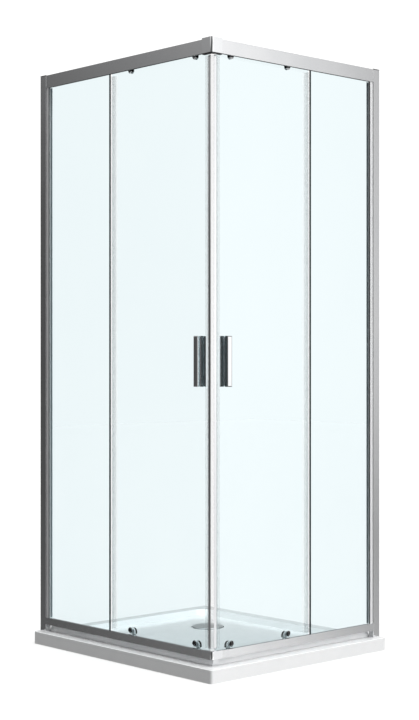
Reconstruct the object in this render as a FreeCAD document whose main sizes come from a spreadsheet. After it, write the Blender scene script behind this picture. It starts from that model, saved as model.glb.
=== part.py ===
# Corner-entry shower enclosure: a low tray, two fixed panes and two doors that slide to meet at a corner.
# Frame: millimetres, +Z up, origin at the middle of the tray's underside. The walls are at -X and +Y.
import FreeCAD, Part
import math
import operator
import os
from collections import namedtuple

import Sketcher
from FreeCAD import Placement, Rotation, Vector

# Driving dimensions in millimetres, with one angle in degrees and one share
SIZES = {
    # tray
    "tray_len": 900.0,
    "tray_wid": 800.0,
    "tray_h": 42.0,
    "tray_corner_r": 8.0,
    "tray_edge_r": 2.0,
    "lip": 28.0,              # tray edge to the front of the frame
    "rim_door": 82.0,         # rim under the doors
    "rim_wall": 46.0,         # rim along the walls
    "basin_depth": 18.0,
    "basin_taper": 52.0,      # lean of the basin wall, degrees
    "basin_corner_r": 60.0,
    # waste
    "waste_from_x": 270.0,    # waste centre from the wall at -X
    "waste_from_y": 235.0,    # waste centre from the wall at +Y
    "waste_hole_r": 45.0,
    "waste_flange_r": 58.0,
    "waste_flange_h": 2.5,
    "waste_seal_h": 1.5,
    "waste_seal_w": 8.0,
    "waste_tail_wall": 3.0,
    "waste_fit": 1.0,         # tail to tray hole, and flange to its recess
    "waste_recess": 3.0,      # flange below the basin floor
    "waste_foot_h": 3.5,
    "waste_foot_r": 4.0,
    "cover_r": 54.0,
    "cover_h": 3.0,
    "cover_edge_r": 1.5,
    # rails
    "enclosure_h": 1913.0,    # tray top to the top of the top rail
    "rail_depth": 44.0,
    "top_rail_h": 43.0,
    "low_rail_h": 24.5,
    "wall_t": 2.0,            # wall of the aluminium profiles
    "web_t": 3.0,
    "chamber_d": 9.5,         # hollow behind each rail's front
    "slot_leg_h": 15.0,
    "ledge_rise": 13.0,       # door track above the top rail's lower edge
    "ledge_t": 2.0,
    "ledge_w": 7.0,
    "rib_w": 2.0,
    "rib_h": 1.6,
    "kerb_h": 3.0,
    "foot_h": 23.0,           # sill under the bottom rail
    "foot_set": 20.0,
    "foot_step_h": 3.0,
    "foot_lean": 8.0,
    "block_proud": 0.8,       # corner joints stand out from the rails
    "block_rise": 4.0,
    "block_r": 8.0,
    "spigot_len": 26.0,
    "spigot_fit": 0.2,
    # wall posts
    "channel_d": 30.0,
    "channel_w": 22.0,
    "jamb_show": 14.0,
    "jamb_in": 18.0,
    "jamb_fit": 0.3,
    "port_set": 5.1,          # frame front to the middle of the jamb's screw port
    "port_w": 2.9,
    "pane_bite": 10.0,
    "post_cap_h": 2.0,
    "post_plug_h": 5.0,
    "wall_hole_r": 2.75,
    "wall_hole_end": 206.5,   # end wall holes from the ends of the channel
    # glass
    "glass_t": 6.0,
    "gasket_t": 1.0,
    "door_set": 26.0,         # frame front to the outer face of the door glass
    "door_start": 41.0,       # frame corner to the front edge of the door glass
    "door_share": 0.598,      # door width as a share of the width up to the jamb
    "pane_lap": 5.5,          # door over the fixed pane when shut
    "door_top_gap": 8.0,
    "door_low_gap": 5.0,
    # seals and stops
    "seal_t": 1.5,
    "front_wrap": 15.0,
    "rear_wrap": 22.0,
    "mitre_gap": 0.3,
    "fin_gap": 0.4,
    "seal_end_gap": 2.0,
    "jamb_clear": 2.5,        # rear seal to jamb with the door open
    "stop_gap": 0.5,
    "stop_fit": 0.2,
    # handles
    "handle_in": 45.0,        # door edge to handle centre
    "handle_z": 930.0,        # handle centre above the tray
    "handle_h": 157.0,
    "handle_w": 19.0,
    "handle_d": 13.0,
    "handle_edge_r": 3.0,
    "handle_pitch": 102.0,
    "post_r": 4.5,
    "post_h": 2.0,
    "stud_r": 3.0,
    "stud_bite": 12.0,
    "stud_fit": 0.5,
    "washer_r": 6.0,
    "washer_t": 1.0,
    # rollers
    "roller_front": 65.0,     # door edge to the first roller
    "roller_rear": 95.0,      # last roller to the door's rear edge
    "roller_cap_r": 8.5,
    "roller_cap_t": 5.0,
    "roller_cap_rim": 2.0,
    "roller_dome_r": 6.0,
    "roller_drop": 3.0,       # top roller centre above the top rail's lower edge
    "roller_rise": 10.0,      # bottom roller centre above the bottom rail's top
    "boss_r": 5.0,
    "boss_fit": 0.5,
    "boss_screw_r": 2.0,
    "screw_fit": 0.1,
    "plate_t": 2.5,
    "carrier_w": 18.0,
    "wheel_gap": 0.6,
    "wheel_w": 5.5,
    "top_wheel_r": 11.5,
    "low_wheel_r": 8.0,
    "groove_w": 3.0,
    "groove_depth": 1.2,
    "roll_gap": 0.15,
    "axle_r": 3.0,
    "axle_fit": 0.05,
    "axle_head_r": 4.2,
    "axle_head_t": 0.7,
    "axle_head_gap": 0.2,
    # bottom release
    "housing_r": 12.5,
    "housing_set": 7.0,       # roller centre above the centre of the housing's arch
    "housing_d": 12.0,
    "housing_drop": 13.0,     # roller centre to the housing's lower edge
    "slider_w": 14.0,
    "slider_h": 4.5,
    "slider_fit": 0.3,
    "slider_low": 1.0,        # slider's lower face above the bottom rail's top
    "tongue_t": 2.0,
    "bridge_t": 3.5,
    "tab_w": 12.0,
    "tab_d": 5.0,
    "tab_h": 3.5,
    "spring_r": 2.6,
    "spring_wire_r": 0.4,
    "spring_turns": 2.0,
    "spring_seat": 0.05,
    # screws
    "screw_r": 1.9,
    "screw_head_r": 3.2,
    "screw_head_h": 2.0,
    "rail_screw_r": 1.4,
    "rail_screw_head_r": 2.2,
    "rail_screw_grip": 15.0,
    "screw_clear": 0.3,
    "jamb_screw_end": 300.0,  # end jamb screws from the rails
}

WALL_HOLES = 4
SCREWS_PER_JAMB = 3
WASTE_FEET = 3
SPRING_WIRE_SIDES = 12
FULL_TURN = 360.0

doc = FreeCAD.newDocument("shower_enclosure")
parts = []


# Sizes and their expressions

class Size:
    """A number together with the sheet expression that gives it."""

    def __init__(self, value, text):
        self.value = value
        self.text = text

    def __add__(self, other):
        return combined(self, "+", other)

    def __radd__(self, other):
        return combined(other, "+", self)

    def __sub__(self, other):
        return combined(self, "-", other)

    def __rsub__(self, other):
        return combined(other, "-", self)

    def __mul__(self, other):
        return combined(self, "*", other)

    def __rmul__(self, other):
        return combined(other, "*", self)

    def __truediv__(self, other):
        return combined(self, "/", other)

    def __neg__(self):
        return combined(0, "-", self)


OPERATORS = {"+": operator.add, "-": operator.sub, "*": operator.mul, "/": operator.truediv}


def as_size(number):
    if isinstance(number, Size):
        return number
    return Size(float(number), f"({number})")


def combined(left, sign, right):
    left = as_size(left)
    right = as_size(right)
    value = OPERATORS[sign](left.value, right.value)
    return Size(value, f"({left.text} {sign} {right.text})")


def fill_sheet():
    """Put the driving dimensions in the sheet, and give each back as a Size."""
    sheet = doc.addObject("Spreadsheet::Sheet", "dims")
    sizes = {}
    for row, (name, value) in enumerate(SIZES.items(), start=1):
        sheet.set(f"A{row}", name)
        sheet.set(f"B{row}", str(value))
        sheet.setAlias(f"B{row}", name)
        sizes[name] = Size(value, f"dims.{name}")
    doc.recompute()
    return namedtuple("Dims", sizes)(**sizes)


def bind(thing, prop, size):
    thing.setExpression(prop, as_size(size).text)


d = fill_sheet()

# Levels above the floor
z_tray = d.tray_h
z_low = z_tray + d.foot_h
z_low_web = z_low + d.web_t
z_low_top = z_low + d.low_rail_h
z_top = z_tray + d.enclosure_h
z_top_web = z_top - d.web_t
z_top_low = z_top - d.top_rail_h
z_ledge = z_top_low + d.ledge_rise + d.ledge_t

# Depths behind the front of the frame, as n (outwards is positive)
n_slot = -d.chamber_d
n_slot_back = n_slot - d.glass_t - 2 * d.gasket_t
n_leg_back = n_slot_back - d.wall_t
n_pane = n_slot - d.gasket_t
n_pane_back = n_pane - d.glass_t
n_door = -d.door_set
n_door_back = n_door - d.glass_t
n_rear = -d.rail_depth
n_rear_wall = n_rear + d.wall_t
n_plate_back = n_door_back - d.plate_t
n_wheel = n_plate_back - d.wheel_gap
n_wheel_back = n_wheel - d.wheel_w
n_rib = (n_wheel + n_wheel_back) / 2
n_housing_back = n_door_back - d.housing_d
n_slider = n_plate_back - d.slider_fit
n_slider_back = n_housing_back + d.slider_fit
n_low_rib = n_slider_back + d.tongue_t + d.wheel_gap + d.wheel_w / 2
n_jamb = -d.wall_t - d.jamb_fit
n_jamb_back = d.wall_t + d.jamb_fit - d.channel_w
n_port = -d.port_set

# Wheel and roller heights
z_top_roller = z_top_low + d.roller_drop
z_low_roller = z_low_top + d.roller_rise
z_top_axle = z_ledge + d.rib_h + d.roll_gap + d.top_wheel_r - d.groove_depth
z_low_axle = z_low_web + d.rib_h + d.roll_gap + d.low_wheel_r - d.groove_depth
z_slider = z_low_top + d.slider_low
z_slider_top = z_slider + d.slider_h
z_arch = z_low_roller - d.housing_set
z_bridge = z_arch + d.housing_r - d.bridge_t

# Waste
waste_x = d.waste_from_x - d.tray_len / 2
waste_y = d.tray_wid / 2 - d.waste_from_y
waste_tail_r = d.waste_hole_r - d.waste_fit
waste_bore_r = waste_tail_r - d.waste_tail_wall
z_flange_top = z_tray - d.basin_depth - d.waste_recess
z_flange = z_flange_top - d.waste_flange_h
z_waste_seal = z_flange - d.waste_seal_h

# Plan position of the frame's outer corner
corner_x = d.tray_len / 2 - d.lip
corner_y = d.lip - d.tray_wid / 2

# Glass heights
z_pane = z_low_web + d.gasket_t
z_pane_top = z_top_web - d.gasket_t
z_door = z_low_web + d.door_low_gap
z_door_top = z_top_web - d.door_top_gap
z_handle = z_tray + d.handle_z


class Side:
    """One glazed side. u runs from the frame's corner to the wall, n points outwards, z up."""

    def __init__(self, name, sign, angle, run):
        self.name = name
        self.sign = sign
        self.angle = angle
        self.run = run
        self.rail_end = run - d.channel_d
        self.jamb_front = self.rail_end - d.jamb_show
        self.door_end = d.door_start + (self.jamb_front - d.door_start) * d.door_share
        self.pane_start = self.door_end - d.pane_lap
        self.pane_end = self.jamb_front + d.pane_bite
        self.rollers = [d.door_start + d.roller_front, self.door_end - d.roller_rear]
        self.travel = self.jamb_front - d.jamb_clear - self.door_end - d.seal_t

    def place(self, thing, u=0, n=0, z=0):
        """Turn a thing made in (u, n, z) into this side, with its own origin at the given point."""
        if self.name == "x":
            x, y = corner_x - u, corner_y - n
        else:
            x, y = corner_x + n, corner_y + u
        thing.Placement = Placement(Vector(), Rotation(Vector(0, 0, 1), self.angle))
        bind(thing, "Placement.Base.x", x)
        bind(thing, "Placement.Base.y", y)
        bind(thing, "Placement.Base.z", z)


# The local x of the second side runs towards the corner, because a turn can't mirror it.
SIDES = [
    Side("x", 1, 180, d.tray_len - d.lip),
    Side("y", -1, -90, d.tray_wid - d.lip),
]
SIDE_X, SIDE_Y = SIDES
ROLLERS = ["front", "rear"]

Circle = namedtuple("Circle", "u v r")
RoundedRect = namedtuple("RoundedRect", "u0 v0 u1 v1 r")


# Sketches and features

def rect(u0, v0, u1, v1):
    return [(u0, v0), (u1, v0), (u1, v1), (u0, v1)]


def add_polygon(sketch, points, sign):
    first = sketch.GeometryCount
    corners = [(as_size(u) * sign, as_size(v)) for u, v in points]
    spots = [Vector(u.value, v.value, 0) for u, v in corners]
    count = len(spots)
    sketch.addGeometry([Part.LineSegment(spots[i], spots[(i + 1) % count]) for i in range(count)], False)
    for i in range(count):
        after = first + (i + 1) % count
        sketch.addConstraint(Sketcher.Constraint("Coincident", first + i, 2, after, 1))
    for i, (u, v) in enumerate(corners):
        for kind, size in (("DistanceX", u), ("DistanceY", v)):
            index = sketch.addConstraint(Sketcher.Constraint(kind, -1, 1, first + i, 1, size.value))
            bind(sketch, f"Constraints[{index}]", size)


def add_circle(sketch, circle, sign):
    u, v, r = as_size(circle.u) * sign, as_size(circle.v), as_size(circle.r)
    centre = Vector(u.value, v.value, 0)
    geo = sketch.addGeometry(Part.Circle(centre, Vector(0, 0, 1), r.value), False)
    constraints = [
        (Sketcher.Constraint("DistanceX", -1, 1, geo, 3, u.value), u),
        (Sketcher.Constraint("DistanceY", -1, 1, geo, 3, v.value), v),
        (Sketcher.Constraint("Radius", geo, r.value), r),
    ]
    for constraint, size in constraints:
        index = sketch.addConstraint(constraint)
        bind(sketch, f"Constraints[{index}]", size)


def add_rounded_rect(sketch, shape):
    """Four sides drawn at their places, joined by corner arcs that share one radius."""
    u0, v0, u1, v1, r = shape
    sides = [
        ((u0 + r, v0), (u1 - r, v0)),
        ((u1, v0 + r), (u1, v1 - r)),
        ((u1 - r, v1), (u0 + r, v1)),
        ((u0, v1 - r), (u0, v0 + r)),
    ]
    centres = [(u1 - r, v0 + r), (u1 - r, v1 - r), (u0 + r, v1 - r), (u0 + r, v0 + r)]
    count = len(sides)
    quarter = math.tau / count
    for ends in sides:
        start, end = [Vector(u.value, v.value, 0) for u, v in ends]
        geo = sketch.addGeometry(Part.LineSegment(start, end), False)
        for point, (u, v) in enumerate(ends, start=1):
            for kind, size in (("DistanceX", u), ("DistanceY", v)):
                index = sketch.addConstraint(Sketcher.Constraint(kind, -1, 1, geo, point, size.value))
                bind(sketch, f"Constraints[{index}]", size)
    for i, (u, v) in enumerate(centres):
        circle = Part.Circle(Vector(u.value, v.value, 0), Vector(0, 0, 1), r.value)
        turn = quarter * (i - 1)
        geo = sketch.addGeometry(Part.ArcOfCircle(circle, turn, turn + quarter), False)
        sketch.addConstraint(Sketcher.Constraint("Coincident", i, 2, geo, 1))
        sketch.addConstraint(Sketcher.Constraint("Coincident", geo, 2, (i + 1) % count, 1))
        index = sketch.addConstraint(Sketcher.Constraint("Radius", geo, r.value))
        bind(sketch, f"Constraints[{index}]", r)


def add_sketch(body, role, loops, sign, offset):
    sketch = body.newObject("Sketcher::SketchObject", body.Label + "_sketch")
    planes = [plane for plane in body.Origin.OriginFeatures if plane.Role == role]
    sketch.AttachmentSupport = [(planes[0], "")]
    sketch.MapMode = "FlatFace"
    bind(sketch, "AttachmentOffset.Base.z", offset)
    for loop in loops:
        if isinstance(loop, Circle):
            add_circle(sketch, loop, sign)
        elif isinstance(loop, RoundedRect):
            add_rounded_rect(sketch, loop)
        else:
            add_polygon(sketch, loop, sign)
    return sketch


def extrude(kind, body, view, loops, lo, hi, side):
    """Pad or pocket loops drawn in plan (u, n), in section (n, z) or on the face (u, z), from lo to hi."""
    sign = side.sign if side else 1
    lo, hi = as_size(lo), as_size(hi)
    if view == "plan":
        sketch = add_sketch(body, "XY_Plane", loops, sign, lo)
    elif view == "section":
        sketch = add_sketch(body, "YZ_Plane", loops, 1, lo if sign > 0 else -hi)
    else:
        sketch = add_sketch(body, "XZ_Plane", loops, sign, -hi)
    feature = body.newObject("PartDesign::" + kind, body.Label + "_" + kind.lower())
    feature.Profile = sketch
    feature.Reversed = kind == "Pocket"
    bind(feature, "Length", hi - lo)
    return feature


def pad(body, view, loops, lo, hi, side=None):
    return extrude("Pad", body, view, loops, lo, hi, side)


def cut(body, view, loops, lo, hi, side=None):
    """Pocket, with a test that it takes material away."""
    doc.recompute()
    before = body.Tip.Shape.Volume
    feature = extrude("Pocket", body, view, loops, lo, hi, side)
    doc.recompute()
    if feature.Shape.Volume >= before:
        raise RuntimeError(f"{feature.Label} cuts nothing")
    return feature


def round_edges(body, radius, wanted):
    doc.recompute()
    base = body.Tip
    names = [f"Edge{i}" for i, edge in enumerate(base.Shape.Edges, start=1) if wanted(edge)]
    fillet = body.newObject("PartDesign::Fillet", body.Label + "_fillet")
    fillet.Base = (base, names)
    bind(fillet, "Radius", radius)


def new_body(label, side=None, u=0, n=0, z=0):
    body = doc.addObject("PartDesign::Body", label)
    body.Label = label
    if side:
        side.place(body, u, n, z)
    return body


def keep(thing):
    """Mark a finished sub-part."""
    parts.append(thing)
    return thing


def prism(label, side, view, loops, lo, hi):
    body = new_body(label, side)
    pad(body, view, loops, lo, hi, side)
    return body


def lathe(label, points, side, u, n, z):
    """Turn a profile of (radius, n) points about an axis along n through the given point."""
    body = new_body(label, side, u, n, z)
    sketch = add_sketch(body, "XY_Plane", [points], 1, 0)
    turned = body.newObject("PartDesign::Revolution", label + "_turned")
    turned.Profile = sketch
    turned.ReferenceAxis = (sketch, ["V_Axis"])
    turned.Angle = FULL_TURN
    return body


def group(label, members):
    """Identical separate solids that share one sub-part."""
    compound = doc.addObject("Part::Compound", label)
    compound.Label = label
    compound.Links = members
    return keep(compound)


def vertical(edge):
    return edge.BoundBox.XLength + edge.BoundBox.YLength < FreeCAD.Base.Precision.confusion()


def spread(low, high, count):
    """Evenly spaced places from low to high."""
    return [low + (high - low) * i / (count - 1) for i in range(count)]


def level(edge, height):
    flat = edge.BoundBox.ZLength < FreeCAD.Base.Precision.confusion()
    return flat and math.isclose(edge.BoundBox.ZMin, height.value)


# Tray and waste

def shower_tray():
    body = new_body("shower_tray")
    half_x, half_y = d.tray_len / 2, d.tray_wid / 2
    pad(body, "plan", [rect(-half_x, -half_y, half_x, half_y)], 0, z_tray)
    round_edges(body, d.tray_corner_r, vertical)
    round_edges(body, d.tray_edge_r, lambda edge: level(edge, z_tray))
    mouth = RoundedRect(d.rim_wall - half_x, d.rim_door - half_y, half_x - d.rim_door, half_y - d.rim_wall,
                        d.basin_corner_r)
    sketch = add_sketch(body, "XY_Plane", [mouth], 1, z_tray)
    basin = body.newObject("PartDesign::Pocket", "basin")
    basin.Profile = sketch
    bind(basin, "Length", d.basin_depth)
    bind(basin, "TaperAngle", -d.basin_taper)
    hole = Circle(waste_x, waste_y, d.waste_hole_r)
    cut(body, "plan", [hole], 0, z_tray)
    recess = Circle(waste_x, waste_y, d.waste_flange_r + d.waste_fit)
    cut(body, "plan", [recess], z_waste_seal, z_tray - d.basin_depth)
    return keep(body)


def waste_body():
    body = new_body("waste_body")
    bore = Circle(waste_x, waste_y, waste_bore_r)
    pad(body, "plan", [Circle(waste_x, waste_y, waste_tail_r), bore], 0, z_flange_top)
    pad(body, "plan", [Circle(waste_x, waste_y, d.waste_flange_r), bore], z_flange, z_flange_top)
    return keep(body)


def waste_seal():
    body = new_body("waste_seal")
    outer = Circle(waste_x, waste_y, d.waste_flange_r)
    inner = Circle(waste_x, waste_y, d.waste_flange_r - d.waste_seal_w)
    pad(body, "plan", [outer, inner], z_waste_seal, z_flange)
    return keep(body)


def waste_cover():
    body = new_body("waste_cover")
    under = z_flange_top + d.waste_foot_h
    pad(body, "plan", [Circle(waste_x, waste_y, d.cover_r)], under, under + d.cover_h)
    round_edges(body, d.cover_edge_r, lambda edge: level(edge, under + d.cover_h))
    reach = (waste_bore_r + d.waste_flange_r) / 2
    for foot in range(WASTE_FEET):
        turn = math.tau * foot / WASTE_FEET
        spot = Circle(waste_x + reach * math.cos(turn), waste_y + reach * math.sin(turn), d.waste_foot_r)
        pad(body, "plan", [spot], z_flange_top, under)
    return keep(body)


# Fixed frame

def wall_channel(side):
    label = "wall_channel_" + side.name
    front, back = side.rail_end, side.run
    inner = back - d.wall_t
    outline = [
        (front, 0), (back, 0), (back, -d.channel_w), (front, -d.channel_w),
        (front, d.wall_t - d.channel_w), (inner, d.wall_t - d.channel_w),
        (inner, -d.wall_t), (front, -d.wall_t),
    ]
    body = prism(label, side, "plan", [outline], z_tray, z_top)
    middle = -d.channel_w / 2
    heights = spread(z_tray + d.wall_hole_end, z_top - d.wall_hole_end, WALL_HOLES)
    holes = [Circle(middle, height, d.wall_hole_r) for height in heights]
    cut(body, "section", holes, inner, back, side)
    screw_hole = d.screw_r + d.screw_clear
    sockets = [Circle(jamb_screw_u(side), height, screw_hole) for height in jamb_screw_heights()]
    cut(body, "face", sockets, -d.channel_w, d.wall_t - d.channel_w, side)
    return keep(body)


def jamb_screw_u(side):
    return side.rail_end + d.jamb_in / 2


def jamb_screw_heights():
    return spread(z_low_top + d.jamb_screw_end, z_top_low - d.jamb_screw_end, SCREWS_PER_JAMB)


def jamb_profile(side):
    """Hollow upright with a slot for the pane, a screw port beside it and a chamber behind."""
    front, back = side.jamb_front, side.rail_end + d.jamb_in
    slot_end = side.pane_end + d.gasket_t
    outline = [
        (front, n_jamb), (back, n_jamb), (back, n_jamb_back), (front, n_jamb_back),
        (front, n_slot_back), (slot_end, n_slot_back), (slot_end, n_slot), (front, n_slot),
    ]
    port = rect(front + d.wall_t, n_port - d.port_w / 2, slot_end, n_port + d.port_w / 2)
    chamber = rect(slot_end + d.wall_t, n_jamb_back + d.wall_t, back - d.wall_t, n_jamb - d.wall_t)
    body = prism("jamb_profile_" + side.name, side, "plan", [outline, port, chamber], z_low_top, z_top_low)
    holes = [Circle(jamb_screw_u(side), height, d.screw_r + d.screw_fit) for height in jamb_screw_heights()]
    cut(body, "face", holes, n_jamb_back, n_jamb_back + d.wall_t, side)
    return keep(body)


def post_cap(side):
    body = prism("post_cap_" + side.name, side, "plan", [rect(side.rail_end, -d.channel_w, side.run, 0)],
                 z_top, z_top + d.post_cap_h)
    plug = rect(side.rail_end, n_jamb_back, side.run - d.wall_t - d.jamb_fit, n_jamb)
    pad(body, "plan", [plug], z_top - d.post_plug_h, z_top, side)
    return body


def post_foot(side):
    """Block that fills the foot of the wall channel beside the bottom rail."""
    plug = rect(side.rail_end, n_jamb_back, side.run - d.wall_t - d.jamb_fit, n_jamb)
    return prism("post_foot_" + side.name, side, "plan", [plug], z_tray, z_low_top)


def rail_screw_spot(side, radius):
    return Circle(side.jamb_front + d.jamb_show / 2, n_port, radius)


def top_rail(side):
    rib_in, rib_out = n_rib + d.rib_w / 2, n_rib - d.rib_w / 2
    ledge_tip = n_rear_wall + d.ledge_w
    outline = [
        (0, z_top), (n_rear, z_top), (n_rear, z_ledge - d.ledge_t), (ledge_tip, z_ledge - d.ledge_t), (ledge_tip, z_ledge),
        (rib_in, z_ledge), (rib_in, z_ledge + d.rib_h), (rib_out, z_ledge + d.rib_h), (rib_out, z_ledge),
        (n_rear_wall, z_ledge), (n_rear_wall, z_top_web),
        (n_leg_back, z_top_web), (n_leg_back, z_top_web - d.slot_leg_h),
        (n_slot_back, z_top_web - d.slot_leg_h), (n_slot_back, z_top_web),
        (n_slot, z_top_web), (n_slot, z_top_low), (0, z_top_low),
    ]
    chamber = rect(-d.wall_t, z_top_low + d.wall_t, n_slot + d.wall_t, z_top_web)
    label = "top_rail_" + side.name
    body = prism(label, side, "section", [outline, chamber], d.rail_depth, side.rail_end)
    rail_hole = rail_screw_spot(side, d.rail_screw_r + d.screw_clear)
    cut(body, "plan", [rail_hole], z_top_low, z_top_low + d.wall_t, side)
    spigot_hole = Circle(spigot_screw_u(), top_spigot_z(), d.screw_r + d.screw_clear)
    cut(body, "face", [spigot_hole], n_slot, n_slot + d.wall_t, side)
    return keep(body)


def bottom_rail(side):
    rib_in, rib_out = n_low_rib + d.rib_w / 2, n_low_rib - d.rib_w / 2
    outline = [
        (0, z_low), (0, z_low_top), (n_slot, z_low_top), (n_slot, z_low_web),
        (n_slot_back, z_low_web), (n_slot_back, z_low_web + d.slot_leg_h),
        (n_leg_back, z_low_web + d.slot_leg_h), (n_leg_back, z_low_web),
        (rib_in, z_low_web), (rib_in, z_low_web + d.rib_h),
        (rib_out, z_low_web + d.rib_h), (rib_out, z_low_web), (n_rear_wall, z_low_web),
        (n_rear_wall, z_low_web + d.kerb_h), (n_rear, z_low_web + d.kerb_h), (n_rear, z_low),
    ]
    chamber = rect(-d.wall_t, z_low_web, n_slot + d.wall_t, z_low_top - d.wall_t)
    label = "bottom_rail_" + side.name
    body = prism(label, side, "section", [outline, chamber], d.rail_depth, side.rail_end)
    rail_hole = rail_screw_spot(side, d.rail_screw_r + d.screw_clear)
    cut(body, "plan", [rail_hole], z_low_top - d.wall_t, z_low_top, side)
    spigot_hole = Circle(spigot_screw_u(), low_spigot_z(), d.screw_r + d.screw_clear)
    cut(body, "face", [spigot_hole], n_slot, n_slot + d.wall_t, side)
    return keep(body)


def sill(side):
    """Sloped strip that carries the bottom rail on the tray. The first side's strip fills the corner."""
    step = z_tray + d.foot_step_h
    outline = [
        (-d.foot_set, z_tray), (-d.foot_set, step), (-d.foot_set - d.foot_lean, z_low),
        (n_rear, z_low), (n_rear, z_tray),
    ]
    start = d.foot_set if side is SIDE_X else d.rail_depth
    return keep(prism("sill_" + side.name, side, "section", [outline], start, side.rail_end))


def spigot_screw_u():
    return d.rail_depth + d.spigot_len / 2


def low_spigot_z():
    return (z_low_web + z_low_top - d.wall_t) / 2


def top_spigot_z():
    return (z_top_low + d.wall_t + z_top_web) / 2


def corner_joint(label, lo, hi, plate_lo, plate_hi, spigot_lo, spigot_hi):
    """Outer corner cover with a plate across the corner and a spigot into each rail."""
    side = SIDE_X
    proud, deep = d.block_proud, d.rail_depth
    angle = [
        (-proud, proud), (deep, proud), (deep, n_slot),
        (-n_slot, n_slot), (-n_slot, -deep), (-proud, -deep),
    ]
    body = prism(label, side, "plan", [angle], lo, hi)
    plate = rect(-proud, -deep, deep, proud)
    pad(body, "plan", [plate], plate_lo, plate_hi, side)
    round_edges(body, d.block_r, outer_corner_edge)
    near, far = d.wall_t + d.spigot_fit, d.chamber_d - d.wall_t - d.spigot_fit
    reach = deep + d.spigot_len
    spigots = [rect(deep, -far, reach, -near), rect(near, -reach, far, -deep)]
    low, high = spigot_lo + d.spigot_fit, spigot_hi - d.spigot_fit
    for spigot in spigots:
        pad(body, "plan", [spigot], low, high, side)
    middle = (spigot_lo + spigot_hi) / 2
    hole = d.screw_r + d.screw_fit
    cut(body, "face", [Circle(spigot_screw_u(), middle, hole)], -far, -near, side)
    cut(body, "section", [Circle(-spigot_screw_u(), middle, hole)], near, far, side)
    return keep(body)


def outer_corner_edge(edge):
    box = edge.BoundBox
    reach = d.block_proud.value
    return vertical(edge) and math.isclose(box.XMin, -reach) and math.isclose(box.YMin, reach)


def fixed_glass(side):
    face = rect(side.pane_start, z_pane, side.pane_end, z_pane_top)
    return keep(prism("fixed_glass_" + side.name, side, "face", [face], n_pane_back, n_pane))


def pane_gasket(side):
    """Three U-shaped strips: up the jamb, under the pane and over it."""
    label = "pane_gasket_" + side.name
    back = side.pane_end + d.gasket_t
    upright = [
        (side.jamb_front, n_slot), (back, n_slot), (back, n_slot_back), (side.jamb_front, n_slot_back),
        (side.jamb_front, n_pane_back), (side.pane_end, n_pane_back), (side.pane_end, n_pane),
        (side.jamb_front, n_pane),
    ]
    strips = [prism(label + "_upright", side, "plan", [upright], z_low_top, z_top_low)]
    ends = [("low", z_low_web, z_pane, 1), ("top", z_top_web, z_pane_top, -1)]
    for name, web, pane, way in ends:
        tip = web + way * d.slot_leg_h
        channel = [
            (n_slot, web), (n_slot, tip), (n_pane, tip), (n_pane, pane),
            (n_pane_back, pane), (n_pane_back, tip), (n_slot_back, tip), (n_slot_back, web),
        ]
        strips.append(prism(f"{label}_{name}", side, "section", [channel], side.pane_start, side.pane_end))
    return group(label, strips)


def door_stop(side):
    """Block at the wall end of the top rail that the open door meets."""
    start = side.door_end + side.travel + d.stop_gap
    low = z_ledge + d.rib_h + d.stop_fit
    outline = rect(n_leg_back - d.stop_fit, low, n_rear_wall + d.stop_fit, z_top_web)
    return prism("door_stop_" + side.name, side, "section", [outline], start, side.rail_end)


def screw(label, side, u, n, z):
    """Pan-head screw whose head stands inwards and whose shank points outwards along n."""
    profile = [
        (0, -d.screw_head_h), (d.screw_head_r, -d.screw_head_h), (d.screw_head_r, 0), (d.screw_r, 0),
        (d.screw_r, screw_shank()), (0, screw_shank()),
    ]
    return lathe(label, profile, side, u, n, z)


def screw_shank():
    return d.chamber_d - 2 * d.wall_t


def jamb_screws():
    members = []
    for side in SIDES:
        for height in jamb_screw_heights():
            label = f"jamb_screw_{side.name}_{len(members)}"
            members.append(screw(label, side, jamb_screw_u(side), -d.channel_w, height))
    return group("jamb_screws", members)


def corner_screws():
    members = []
    for side in SIDES:
        for height in (low_spigot_z(), top_spigot_z()):
            label = f"corner_screw_{side.name}_{len(members)}"
            members.append(screw(label, side, spigot_screw_u(), n_slot, height))
    return group("corner_screws", members)


def rail_screws():
    """Screws inside the rails that bite into the screw ports of the jambs."""
    members = []
    for side in SIDES:
        head, shank = rail_screw_spot(side, d.rail_screw_head_r), rail_screw_spot(side, d.rail_screw_r)
        low_seat, top_seat = z_low_top - d.wall_t, z_top_low + d.wall_t
        low_end, top_end = low_seat - d.screw_head_h, top_seat + d.screw_head_h
        low = prism(f"rail_screw_low_{side.name}", side, "plan", [head], low_end, low_seat)
        pad(low, "plan", [shank], low_seat, low_seat + d.rail_screw_grip, side)
        top = prism(f"rail_screw_top_{side.name}", side, "plan", [head], top_seat, top_end)
        pad(top, "plan", [shank], top_seat - d.rail_screw_grip, top_seat, side)
        members += [low, top]
    return group("rail_screws", members)


# Sliding doors

def handle_u():
    return d.door_start + d.handle_in


def handle_heights():
    return [z_handle - d.handle_pitch / 2, z_handle + d.handle_pitch / 2]


def door_glass(side):
    body = prism("door_glass_" + side.name, side, "face",
                 [rect(d.door_start, z_door, side.door_end, z_door_top)], n_door_back, n_door)
    boss_hole = d.boss_r + d.boss_fit
    holes = [Circle(u, z, boss_hole) for u in side.rollers for z in (z_low_roller, z_top_roller)]
    holes += [Circle(handle_u(), height, d.stud_r + d.stud_fit) for height in handle_heights()]
    cut(body, "face", holes, n_door_back, n_door, side)
    return keep(body)


def magnet_seal(side):
    """Strip over the door's front edge, with a mitred nose that meets the other door's strip."""
    out, back = n_door + d.seal_t, n_door_back - d.seal_t
    tail = d.door_start + d.front_wrap
    outline = [
        (d.mitre_gap - out, out), (tail, out), (tail, n_door), (d.door_start, n_door),
        (d.door_start, n_door_back), (tail, n_door_back), (tail, back), (d.mitre_gap - back, back),
    ]
    return keep(prism("magnet_seal_" + side.name, side, "plan", [outline],
                      z_low_top + d.seal_end_gap, z_top_low - d.seal_end_gap))


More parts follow.
